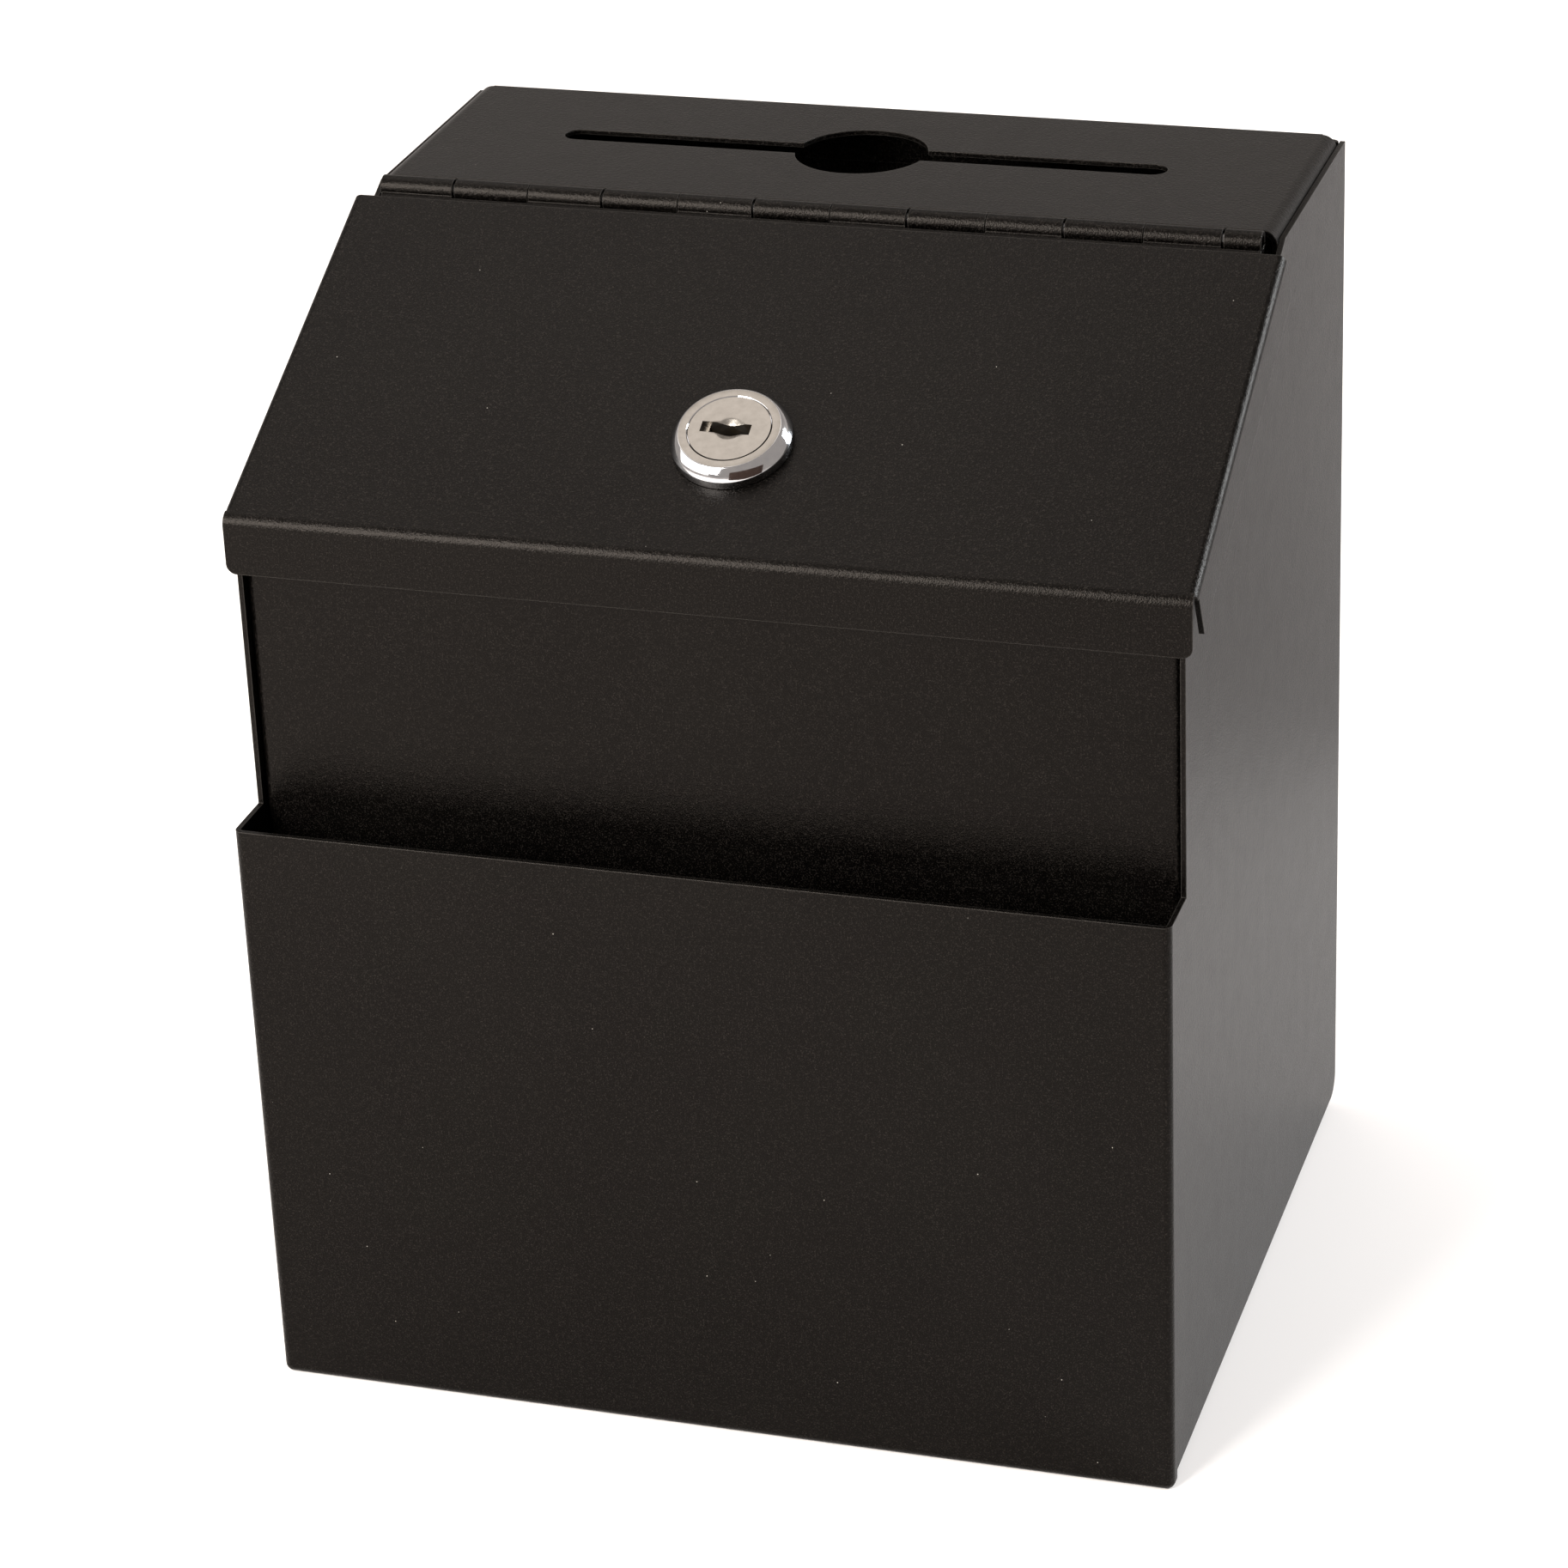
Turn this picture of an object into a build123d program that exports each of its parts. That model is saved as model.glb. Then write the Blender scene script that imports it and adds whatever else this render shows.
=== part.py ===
from build123d import *
from math import cos, pi, radians, sin, tan
import os

# Wall or table top donation box: a lockable steel box with a sloping hinged lid, a note slot and
# coin hole in its flat top, and an open leaflet pocket across its front.
#
# Millimetres. +Z is up, the front faces -Y, +X is to the right seen from the front. The origin
# is under the centre of the box, on the surface that it stands on.

os.makedirs("parts", exist_ok=True)

# ---- Driving dimensions -------------------------------------------------------------------
BODY_WIDTH = 179.5
BODY_DEPTH = 153.0
BODY_HEIGHT = 216.5
SHEET = 1.0  # thickness of every folded panel
BEND = 1.7  # outer radius of an ordinary fold
TOP_BEND = 3.0  # outer radius along both sides of the flat top
OVERLAP = 0.2  # between two shapes that make up one folded sheet
POCKET_HEIGHT = 119.0  # top edge of the leaflet pocket
POCKET_DEPTH = 12.6  # how far the upper front stands back from the pocket front
PANEL_RECESS = 1.2  # inner front panel, behind the front edges of the side walls
PANEL_UNDER_LID = 0.6  # top of that panel, below the inner face of the lid
WALL_DROP = 2.0  # top edges of the side walls, below the flat top
WALL_UNDER_LID = 4.1  # their sloping edges, below the outer face of the lid and clear of the hinge
SIDE_BOTTOM = 3.2  # lower edge of the side walls above the table
REAR_CORNER = 4.5  # rounded lower rear corner of the side walls
FLANGE = 11.5  # depth of the flanges that the inner panels are welded by
FLOOR_FLANGE = 8.0
FLOOR_GAP = 0.2  # beside the upturned edges of the floor
FLOOR_HEADROOM = 0.5  # above them, where the other panels are notched

LID_ANGLE = 26.0
LID_WIDTH = 183.6
LID_LIP = 11.0
LID_SIDE = 11.4
LID_FOLD = 2.6  # outer radius of the fold between the lid and its lip
LID_FRONT_Y = -65.1  # outer face of the lip
LID_LIP_CORNER = 2.0
LID_LIP_INSET = 0.5  # ends of the lip, inside the outer faces of the side flanges
LID_SIDE_START = 2.4  # front edges of the side flanges, behind the front fold

HINGE_Y = 15.0
HINGE_DEPTH = 1.45  # pin axis below the outer faces of the lid and of the top panel
HINGE_OUTER = 4.4
HINGE_PIN = 2.4
HINGE_BORE = 2.5
HINGE_LEAF = 0.9
HINGE_LEAF_WIDTH = 15.0
HINGE_SEAM = 0.35
LEAF_TO_BARREL = 0.4
HINGE_START_X = -87.1
PIN_RECESS = 1.2
LID_LEAF_HALF = 86.8
TOP_LEAF_HALF = 85.4
KNUCKLE_PITCH = 15.15
KNUCKLES = 12
LAST_KNUCKLE = 7.2
KNUCKLE_OPEN = 0.45  # gap on the right of each lid knuckle
KNUCKLE_CLOSE = 0.15  # gap on its left
LID_EDGE_TO_PIN = 4.2
TOP_EDGE_TO_PIN = 2.8

SLOT_LENGTH = 122.0
SLOT_WIDTH = 6.0
SLOT_Y = 47.5
COIN_HOLE = 26.0

WALL_HOLE = 6.0
WALL_HOLE_X = 60.0
WALL_HOLE_LOW = 60.0
WALL_HOLE_HIGH = 180.0

LOCK_UP_SLOPE = 28.2  # lock centre from the front fold of the lid
LOCK_HEAD = 22.8
LOCK_FACE = 19.4
LOCK_HEAD_HEIGHT = 4.0
LOCK_RIM_HEIGHT = 1.8
LOCK_BARREL = 18.6
LOCK_FLATS = 16.0
LOCK_LENGTH = 14.0  # under the head
LOCK_PLAY = 0.2  # barrel in the hole of the lid, on diameter
GROOVE_PLAY = 0.3
LOCK_WASHER = 0.8
LOCK_WASHER_OUTER = 24.0
WASHER_TEETH = 12
TOOTH_DEPTH = 1.3
TOOTH_GAP = 1.6
NUT_FLATS = 22.0
NUT_HEIGHT = 3.5
NUT_CHAMFER = 1.0  # height of the turned corners
NUT_CHAMFER_OUT = 2.0
PLUG_HEAD = 15.4
PLUG_HEAD_HEIGHT = 2.0
PLUG = 12.0
PLUG_PLAY = 0.05
PLUG_END = 14.1  # shoulder of the tail, just behind the housing
PLUG_TAIL = 6.0
TAIL_END = 16.9
KEY_LONG = 5.4  # long arm of the key slot from the centre, at the face
KEY_INNER = 4.2  # the same arm below its step
KEY_SHORT = 4.0
KEY_WIDTH = 2.5
KEY_DEPTH = 14.5
KEY_STEP = 1.5
KEY_DIMPLE = 5.8
KEY_DIMPLE_DEPTH = 1.3
WAFERS = 5
WAFER_PITCH = 2.0
WAFER_FIRST = 0.6
WAFER_THICK = 0.8
WAFER_HALF_LENGTH = 5.2
WAFER_HALF_WIDTH = 2.9
WAFER_PLAY = 0.05
WAFER_CUTS = (0.4, 1.2, 0.8, 1.6, 0.6)
WAFER_BAR = 0.8
TAB_ROOT = 0.5  # of each wafer tab inside the wafer
WINDOW_HALF = 1.5
GROOVE_SPAN = 14.0  # across each pair of wafer grooves in the housing
TAB_X = -1.0
TAB_END_X = -0.2
POCKET_END_X = 3.2
POCKET_OUT_Y = 4.35
SPRING_ROOM = 0.65
SPRING_COIL = 1.1
SPRING_WIRE = 0.2
SPRING_TURNS = 5
STOP_TURN = 90.0
STOP_TAB = 24.0  # degrees
STOP_REST = 135.0  # direction of the stop tab when the lock is open
STOP_MARGIN = 1.5
STOP_INNER = 6.6
STOP_DEPTH = 1.6
STOP_SHEET = 1.0
STOP_PLAY = 0.3  # between the stop tab and the inner wall of its recess
STOP_FLOOR_GAP = 0.1
TAIL_PLAY = 0.1
TAIL_HOLE = 20.0  # long enough to go through any washer or cam
CAM_SHEET = 2.0
CAM_WIDTH = 13.0
CAM_TIP_WIDTH = 10.0
CAM_CRANK = 6.0
CAM_FLAT = 3.0  # straight part beyond the hub, before the crank
CAM_REACH = 26.3
CAM_TIP_CORNER = 2.0
CAM_LOW = PLUG_END + STOP_SHEET + CAM_SHEET
SCREW = 4.0
SCREW_REACH = 5.4
SCREW_WASHER = 0.8
SCREW_WASHER_OUTER = 7.4
SCREW_WASHER_PLAY = 0.1
SCREW_WASHER_SPLIT = 0.5
SCREW_WASHER_SPLIT_TURN = 20.0  # degrees
SCREW_HEAD = 7.6
SCREW_HEAD_HEIGHT = 2.4
SCREW_END_GAP = 0.5  # in the bottom of the tapped hole
RECESS_LENGTH = 4.4
RECESS_WIDTH = 0.9
RECESS_DEPTH = 1.2

# ---- Derived places -----------------------------------------------------------------------
HALF_WIDTH = BODY_WIDTH / 2
INNER_X = HALF_WIDTH - SHEET  # inner faces of the side walls
FRONT_Y = -BODY_DEPTH / 2
BACK_Y = BODY_DEPTH / 2
EDGE_Y = FRONT_Y + POCKET_DEPTH  # front edges of the side walls above the pocket
PANEL_Y = EDGE_Y + PANEL_RECESS
SLOPE = radians(LID_ANGLE)
HINGE_Z = BODY_HEIGHT - HINGE_DEPTH
INNER_BEND = BEND - SHEET
WALL_TOP = BODY_HEIGHT - WALL_DROP


def lid_surface_z(y, depth=0.0):
    """Height of the plane that lies depth under the outer face of the lid."""
    return HINGE_Z + (HINGE_DEPTH - depth) / cos(SLOPE) + (y - HINGE_Y) * tan(SLOPE)


def on_slope(y, z):
    """Frame on the lid with x across, y up the slope and z out of the lid."""
    return Plane(origin=(0, y, z), x_dir=(1, 0, 0), z_dir=(0, -sin(SLOPE), cos(SLOPE)))


FOLD_Z = lid_surface_z(LID_FRONT_Y)
LID_FRAME = on_slope(LID_FRONT_Y, FOLD_Z)
HINGE_FRAME = on_slope(HINGE_Y, HINGE_Z)
LID_LENGTH = (HINGE_Y - LID_FRONT_Y) / cos(SLOPE) - HINGE_DEPTH * tan(SLOPE) - LID_EDGE_TO_PIN
LOCK_FRAME = on_slope(
    LID_FRONT_Y + LOCK_UP_SLOPE * cos(SLOPE),
    FOLD_Z + LOCK_UP_SLOPE * sin(SLOPE),
)


# ---- Shared shapes ------------------------------------------------------------------------
def box_between(low, high):
    """Box with its corners at low and high."""
    size = [b - a for a, b in zip(low, high)]
    centre = [(a + b) / 2 for a, b in zip(low, high)]
    return Pos(*centre) * Box(*size)


def folded(points, thickness=SHEET, outer_bend=BEND):
    """Section of a sheet folded along the centre line through points."""
    line = FilletPolyline(*points, radius=outer_bend - thickness / 2)
    return trace(line, line_width=thickness)


def extrude_x(section, x_from, x_to):
    """Section drawn in (y, z), extruded along X."""
    return extrude(Plane.YZ.offset(x_from) * section, amount=x_to - x_from)


def extrude_y(section, y_from, y_to):
    """Section drawn in (x, z), extruded along Y."""
    return extrude(Plane.XZ.offset(-y_to) * section, amount=y_to - y_from)


def turned(points):
    """Solid of revolution about Z from an outline in (radius, z)."""
    return revolve(Plane.XZ * make_face(Polyline(*points, close=True)), Axis.Z)


def ring(outer, inner, z_from, z_to):
    """Flat ring between two heights."""
    height = z_to - z_from
    band = Cylinder(outer, height) - Cylinder(inner, height)
    return Pos(0, 0, (z_from + z_to) / 2) * band


def flanged_panel(
    half_width, low, high, side, low_end=0.0, high_end=0.0, low_bend=BEND, side_bend=BEND
):
    """Panel with its outer face at z = 0, x across and y from low to high.

    side, low_end and high_end are the depths of flanges folded towards -z. The corner between
    two flanges is notched, as a folded sheet needs.
    """
    middle = SHEET / 2
    edge = half_width - middle
    low_notch = low_bend if low_end else 0.0
    high_notch = BEND if high_end else 0.0
    corners = [(-edge, -side), (-edge, -middle), (edge, -middle), (edge, -side)]
    channel = folded(corners, outer_bend=side_bend)
    panel = extrude_y(channel, low + low_notch, high - high_notch)
    inset = half_width - side_bend
    if low_end:
        bend = [(low + middle, -low_end), (low + middle, -middle), (low + 2 * low_bend, -middle)]
        panel += extrude_x(folded(bend, outer_bend=low_bend), -inset, inset)
    if high_end:
        bend = [(high - 2 * BEND, -middle), (high - middle, -middle), (high - middle, -high_end)]
        panel += extrude_x(folded(bend), -inset, inset)
    return panel


# ---- Box body -----------------------------------------------------------------------------
def side_outline():
    """Outline of a side wall in (y, z), down to the table."""
    slope_foot_z = lid_surface_z(EDGE_Y, WALL_UNDER_LID)
    slope_top_y = EDGE_Y + (WALL_TOP - slope_foot_z) / tan(SLOPE)
    return Polyline(
        (FRONT_Y, 0),
        (FRONT_Y, POCKET_HEIGHT),
        (EDGE_Y, POCKET_HEIGHT),
        (EDGE_Y, slope_foot_z),
        (slope_top_y, WALL_TOP),
        (BACK_Y, WALL_TOP),
        (BACK_Y, 0),
        close=True,
    )


def make_outer_wrap():
    """Pocket front, both side walls and the floor, folded from one sheet."""
    block = box_between((-HALF_WIDTH, FRONT_Y, 0), (HALF_WIDTH, BACK_Y, BODY_HEIGHT))
    hollow = box_between((-INNER_X, FRONT_Y + SHEET, SHEET), (INNER_X, BACK_Y + 1, BODY_HEIGHT + 1))
    block = fillet(block.edges().filter_by(Axis.Z).group_by(Axis.Y)[0], BEND)
    block = fillet(block.faces().sort_by(Axis.Y)[0].edges().sort_by(Axis.Z)[0], BEND)
    hollow = fillet(hollow.edges().filter_by(Axis.Z).group_by(Axis.Y)[0], INNER_BEND)
    hollow = fillet(hollow.faces().sort_by(Axis.Y)[0].edges().sort_by(Axis.Z)[0], INNER_BEND)
    wrap = (block - hollow) & extrude_x(make_face(side_outline()), -HALF_WIDTH, HALF_WIDTH)

    # Behind its front bend the sheet is cut free under the side walls.
    cut_y = FRONT_Y + SIDE_BOTTOM
    below = make_face(
        Polyline(
            (cut_y, -1),
            (cut_y, SIDE_BOTTOM),
            (BACK_Y - REAR_CORNER, SIDE_BOTTOM),
            (BACK_Y - REAR_CORNER, -1),
            close=True,
        )
    )
    corner = Pos(BACK_Y - REAR_CORNER / 2, SIDE_BOTTOM + REAR_CORNER / 2) * Rectangle(
        REAR_CORNER, REAR_CORNER
    )
    corner -= Pos(BACK_Y - REAR_CORNER, SIDE_BOTTOM + REAR_CORNER) * Circle(REAR_CORNER)
    under_corner = Pos(BACK_Y - REAR_CORNER / 2, SIDE_BOTTOM / 2 - 0.5) * Rectangle(
        REAR_CORNER, SIDE_BOTTOM + 1
    )
    for piece in (below, corner, under_corner):
        wrap -= extrude_x(piece, -HALF_WIDTH, HALF_WIDTH)

    # The floor lies between the side walls and is welded to them by its upturned edges.
    edge = INNER_X - SHEET / 2
    pan = folded(
        [(-edge, FLOOR_FLANGE), (-edge, SHEET / 2), (edge, SHEET / 2), (edge, FLOOR_FLANGE)]
    )
    return wrap + extrude_y(pan, cut_y - OVERLAP, BACK_Y - BEND)


def floor_notches(y_from, y_to):
    """Room at both ends of an inner panel for the upturned edges of the floor."""
    inner = INNER_X - SHEET - FLOOR_GAP
    top = FLOOR_FLANGE + FLOOR_HEADROOM
    right = box_between((inner, y_from, 0), (HALF_WIDTH, y_to, top))
    return right + mirror(right, Plane.YZ)


def make_inner_front_panel():
    """Front wall of the money chamber: the back of the pocket, its top flange the lock's strike."""
    top = lid_surface_z(PANEL_Y, SHEET) - PANEL_UNDER_LID
    panel = flanged_panel(INNER_X, SHEET, top, FLANGE, low_end=FLANGE, high_end=FLANGE)
    frame = Plane(origin=(0, PANEL_Y, 0), x_dir=(1, 0, 0), z_dir=(0, -1, 0))
    return frame * panel - floor_notches(PANEL_Y - 1, PANEL_Y + FLANGE + 1)


def make_back_panel():
    """Back wall, with four holes for wall screws."""
    panel = flanged_panel(
        INNER_X, SHEET, BODY_HEIGHT - BEND, FLANGE, low_end=FLANGE, low_bend=REAR_CORNER - SHEET
    )
    frame = Plane(origin=(0, BACK_Y, 0), x_dir=(-1, 0, 0), z_dir=(0, 1, 0))
    panel = frame * panel - floor_notches(BACK_Y - FLANGE - 1, BACK_Y + 1)
    # The side flanges stop below those of the top panel.
    flange_top = BODY_HEIGHT - FLANGE - 1
    panel -= box_between(
        (-HALF_WIDTH, BACK_Y - FLANGE - 1, flange_top),
        (HALF_WIDTH, BACK_Y - BEND, BODY_HEIGHT),
    )
    for x in (-WALL_HOLE_X, WALL_HOLE_X):
        for z in (WALL_HOLE_LOW, WALL_HOLE_HIGH):
            panel -= Pos(x, BACK_Y, z) * Rot(90, 0, 0) * Cylinder(WALL_HOLE / 2, 4 * SHEET)
    return panel


def make_top_panel():
    """Flat top between the side walls, with the note slot and the coin hole."""
    front = HINGE_Y + TOP_EDGE_TO_PIN
    panel = flanged_panel(
        INNER_X, front, BACK_Y - SHEET, FLANGE, high_end=FLANGE, side_bend=TOP_BEND
    )
    opening = SlotOverall(SLOT_LENGTH, SLOT_WIDTH) + Circle(COIN_HOLE / 2)
    panel -= Pos(0, SLOT_Y, -2 * SHEET) * extrude(opening, amount=3 * SHEET)
    return Pos(0, 0, BODY_HEIGHT) * panel


# ---- Lid and hinge ------------------------------------------------------------------------
def flatted_disc(diameter, flats):
    """Round outline with two flats across y, as the lock barrel and its hole have."""
    return Circle(diameter / 2) & Rectangle(diameter, flats)


def make_lid():
    """Sloping lid with side flanges outside the box and a lip over its front."""
    middle = SHEET / 2
    half_turn = (pi / 2 - SLOPE) / 2  # the front fold turns through twice this
    fold_length = LID_FOLD * tan(half_turn) + OVERLAP
    half_width = LID_WIDTH / 2
    plate = flanged_panel(half_width, fold_length, LID_LENGTH, LID_SIDE)
    relief = box_between((-half_width, 0, -LID_SIDE), (half_width, LID_SIDE_START, -BEND))
    plate -= relief
    lip_end = (
        middle * cos(SLOPE) - LID_LIP * sin(SLOPE),
        -middle * sin(SLOPE) - LID_LIP * cos(SLOPE),
    )
    line = [lip_end, (middle * tan(half_turn), -middle), (fold_length + OVERLAP, -middle)]
    section = folded(line, outer_bend=LID_FOLD)
    half_lip = half_width - LID_LIP_INSET
    lip = extrude_x(section, -half_lip, half_lip)
    end_face = lip.faces().sort_by(Axis.Z)[0]
    lip = fillet(end_face.edges().sort_by(SortBy.LENGTH)[0:2], LID_LIP_CORNER)
    lock_hole = flatted_disc(LOCK_BARREL + LOCK_PLAY, LOCK_FLATS + LOCK_PLAY)
    lid = plate + lip - Pos(0, LOCK_UP_SLOPE, -2 * SHEET) * extrude(lock_hole, amount=3 * SHEET)
    return LID_FRAME * lid


def knuckle_spans():
    """Ends in x of each knuckle, from the left. The first belongs to the lid."""
    spans = []
    for index in range(KNUCKLES):
        left = HINGE_START_X + index * KNUCKLE_PITCH
        right = left + (KNUCKLE_PITCH if index < KNUCKLES - 1 else LAST_KNUCKLE)
        on_lid = index % 2 == 0
        if on_lid:
            right -= KNUCKLE_OPEN
        else:
            right -= KNUCKLE_CLOSE
        spans.append((left, right))
    return spans


def hinge_leaf(first, half_width, side):
    """Leaf with every second knuckle, on the -y (side = -1) or +y (side = 1) side of the pin.

    Its frame has the pin along x through the origin and the leaf in the plane z = 0.
    """
    half_leaf = HINGE_LEAF / 2
    radius = HINGE_OUTER / 2
    near = radius + LEAF_TO_BARREL
    plate = Pos(0, side * (near + HINGE_LEAF_WIDTH) / 2, 0) * Box(
        2 * half_width, HINGE_LEAF_WIDTH - near, HINGE_LEAF
    )
    for left, right in knuckle_spans()[first::2]:
        roll = Circle(radius) - Circle(HINGE_BORE / 2)
        # Each knuckle is rolled over the pin and ends just under its own leaf.
        seam = Pos(side * radius, -half_leaf - HINGE_SEAM / 2) * Rectangle(2 * radius, HINGE_SEAM)
        plate += extrude_x(roll - seam, left, right)
        tab_left = max(left, -half_width)
        tab_right = min(right, half_width)
        reach = HINGE_BORE / 2 + OVERLAP
        tab = Pos(side * (reach + near) / 2, 0) * Rectangle(near - reach + OVERLAP, HINGE_LEAF)
        plate += extrude_x(tab, tab_left, tab_right)
    return plate


def make_hinge_lid_leaf():
    """Hinge leaf welded under the lid."""
    return HINGE_FRAME * hinge_leaf(0, LID_LEAF_HALF, -1)


def make_hinge_top_leaf():
    """Hinge leaf welded under the top panel."""
    return Pos(0, HINGE_Y, HINGE_Z) * hinge_leaf(1, TOP_LEAF_HALF, 1)


def make_hinge_pin():
    """Pin through every knuckle, a little short of both ends."""
    length = -2 * HINGE_START_X - 2 * PIN_RECESS
    return Pos(0, HINGE_Y, HINGE_Z) * Rot(0, 90, 0) * Cylinder(HINGE_PIN / 2, length)


# ---- Lock, drawn with its face towards +z and the outer face of the lid at z = 0 --------------
def wafer_heights():
    """Heights of the wafers along the plug."""
    return [-WAFER_FIRST - index * WAFER_PITCH for index in range(WAFERS)]


def make_lock_housing():
    """Lock body: bevelled head, flatted threaded barrel, bore, wafer grooves and stop recess."""
    radius = LOCK_HEAD / 2
    head = turned(
        [
            (0, 0),
            (radius, 0),
            (radius, LOCK_RIM_HEIGHT),
            (LOCK_FACE / 2, LOCK_HEAD_HEIGHT),
            (0, LOCK_HEAD_HEIGHT),
        ]
    )
    barrel = extrude(flatted_disc(LOCK_BARREL, LOCK_FLATS), amount=-LOCK_LENGTH)
    bore = Cylinder(PLUG / 2 + PLUG_PLAY, 4 * LOCK_LENGTH)
    seat_z = LOCK_HEAD_HEIGHT - PLUG_HEAD_HEIGHT - PLUG_PLAY
    seat = Pos(0, 0, seat_z + 5) * Cylinder(PLUG_HEAD / 2 + PLUG_PLAY, 10)
    groove_width = 2 * WAFER_HALF_WIDTH + GROOVE_PLAY
    grooves = Box(GROOVE_SPAN, groove_width, LOCK_LENGTH)
    grooves += Box(groove_width, GROOVE_SPAN, LOCK_LENGTH)
    grooves = Pos(0, 0, -LOCK_LENGTH / 2) * grooves
    housing = head + barrel - bore - seat - grooves
    # The stop tab swings in a recess cut from the rear rim.
    opening = STOP_TURN + STOP_TAB + 2 * STOP_MARGIN
    recess = sector(STOP_INNER, LOCK_BARREL, STOP_REST + STOP_TAB / 2 + STOP_MARGIN, opening)
    return housing - Pos(0, 0, -LOCK_LENGTH) * extrude(recess, amount=STOP_DEPTH)


def sector(inner, outer, start, turn):
    """Flat ring sector that runs clockwise from start through turn (under 180), in degrees."""
    far = 2 * outer
    corners = [(0, 0)] + [polar(far, start - share * turn) for share in (0, 0.5, 1)]
    return (Circle(outer) - Circle(inner)) & make_face(Polyline(*corners, close=True))


def polar(radius, angle):
    """Point at a radius and an angle in degrees."""
    return (radius * cos(radians(angle)), radius * sin(radians(angle)))


def make_lock_plug():
    """Turning plug: face, key slot, wafer slots, square tail and tapped hole."""
    head_low = LOCK_HEAD_HEIGHT - PLUG_HEAD_HEIGHT
    head = ring(PLUG_HEAD / 2, 0, head_low, LOCK_HEAD_HEIGHT)
    plug = head + ring(PLUG / 2, 0, -PLUG_END, head_low)
    plug += box_between(
        (-PLUG_TAIL / 2, -PLUG_TAIL / 2, -TAIL_END), (PLUG_TAIL / 2, PLUG_TAIL / 2, -PLUG_END)
    )
    half_key = KEY_WIDTH / 2
    face = LOCK_HEAD_HEIGHT
    plug -= box_between((-KEY_INNER, -half_key, face - KEY_DEPTH), (KEY_SHORT, half_key, face + 1))
    plug -= box_between((-KEY_LONG, -half_key, face - KEY_STEP), (0, half_key, face + 1))
    plug -= turned([(0, face - KEY_DIMPLE_DEPTH), (KEY_DIMPLE / 2, face), (0, face)])
    for z in wafer_heights():
        half = WAFER_THICK / 2 + WAFER_PLAY
        across = WAFER_HALF_WIDTH + WAFER_PLAY
        plug -= box_between((-PLUG, -across, z - half), (PLUG, across, z + half))
        plug -= spring_pocket(z)
    return plug - ring(SCREW / 2 + WAFER_PLAY, 0, -TAIL_END, -TAIL_END + SCREW_REACH)


def spring_pocket(z):
    """Room in the plug for one wafer's tab and its spring."""
    return box_between(
        (TAB_X - WAFER_PLAY, WAFER_HALF_WIDTH, z - SPRING_ROOM),
        (POCKET_END_X, POCKET_OUT_Y, z + SPRING_ROOM),
    )


def make_wafer(z, cut):
    """Brass wafer, drawn where its own key holds it, with a window for the key."""
    half = WAFER_THICK / 2
    wafer = box_between(
        (-WAFER_HALF_LENGTH, -WAFER_HALF_WIDTH, z - half),
        (WAFER_HALF_LENGTH, WAFER_HALF_WIDTH, z + half),
    )
    wafer += box_between(
        (TAB_X, WAFER_HALF_WIDTH - TAB_ROOT, z - half),
        (TAB_END_X, POCKET_OUT_Y - WAFER_PLAY, z + half),
    )
    window_end = WAFER_HALF_LENGTH - WAFER_BAR
    return wafer - box_between(
        (-window_end + cut, -WINDOW_HALF, z - 1), (window_end, WINDOW_HALF, z + 1)
    )


def make_wafer_springs():
    """One small coil spring behind the tab of each wafer."""
    length = POCKET_END_X - TAB_END_X - SPRING_WIRE - 2 * WAFER_PLAY
    radius = (SPRING_COIL - SPRING_WIRE) / 2
    path = Helix(pitch=length / SPRING_TURNS, height=length, radius=radius)
    wire = Plane(origin=path @ 0, z_dir=path % 0) * Circle(SPRING_WIRE / 2)
    coil = Rot(0, 90, 0) * sweep(wire, path=path)
    start_x = TAB_END_X + WAFER_PLAY + SPRING_WIRE / 2
    middle_y = (WAFER_HALF_WIDTH + POCKET_OUT_Y) / 2
    return Compound([Pos(start_x, middle_y, z) * coil for z in wafer_heights()])


def make_lock_washer():
    """Washer under the lock nut with teeth on its inner edge."""
    low = -SHEET - LOCK_WASHER
    washer = ring(LOCK_WASHER_OUTER / 2, LOCK_BARREL / 2 + LOCK_PLAY, low, -SHEET)
    tooth_gap = box_between(
        (0, -TOOTH_GAP / 2, low - 1), (LOCK_BARREL / 2 + TOOTH_DEPTH, TOOTH_GAP / 2, 0)
    )
    for index in range(WASHER_TEETH):
        washer -= Rot(0, 0, index * 360 / WASHER_TEETH) * tooth_gap
    return washer


def make_lock_nut():
    """Thin hexagon nut that clamps the lock in the lid, its corners turned down."""
    top = -SHEET - LOCK_WASHER
    across_corners = NUT_FLATS / cos(pi / 6)
    nut = Pos(0, 0, top - NUT_HEIGHT) * extrude(
        RegularPolygon(across_corners / 2, 6), amount=NUT_HEIGHT
    )
    flat_radius = NUT_FLATS / 2
    rounding = turned(
        [
            (0, top - NUT_HEIGHT),
            (flat_radius, top - NUT_HEIGHT),
            (flat_radius + NUT_CHAMFER_OUT, top - NUT_HEIGHT + NUT_CHAMFER),
            (flat_radius + NUT_CHAMFER_OUT, top),
            (0, top),
        ]
    )
    return (nut & rounding) - ring(LOCK_BARREL / 2 + PLUG_PLAY, 0, top - NUT_HEIGHT - 1, top + 1)


def square_hole():
    """Hole that fits over the square tail of the plug."""
    side = PLUG_TAIL + TAIL_PLAY
    return Pos(0, 0, -PLUG_END) * Box(side, side, TAIL_HOLE)


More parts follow.
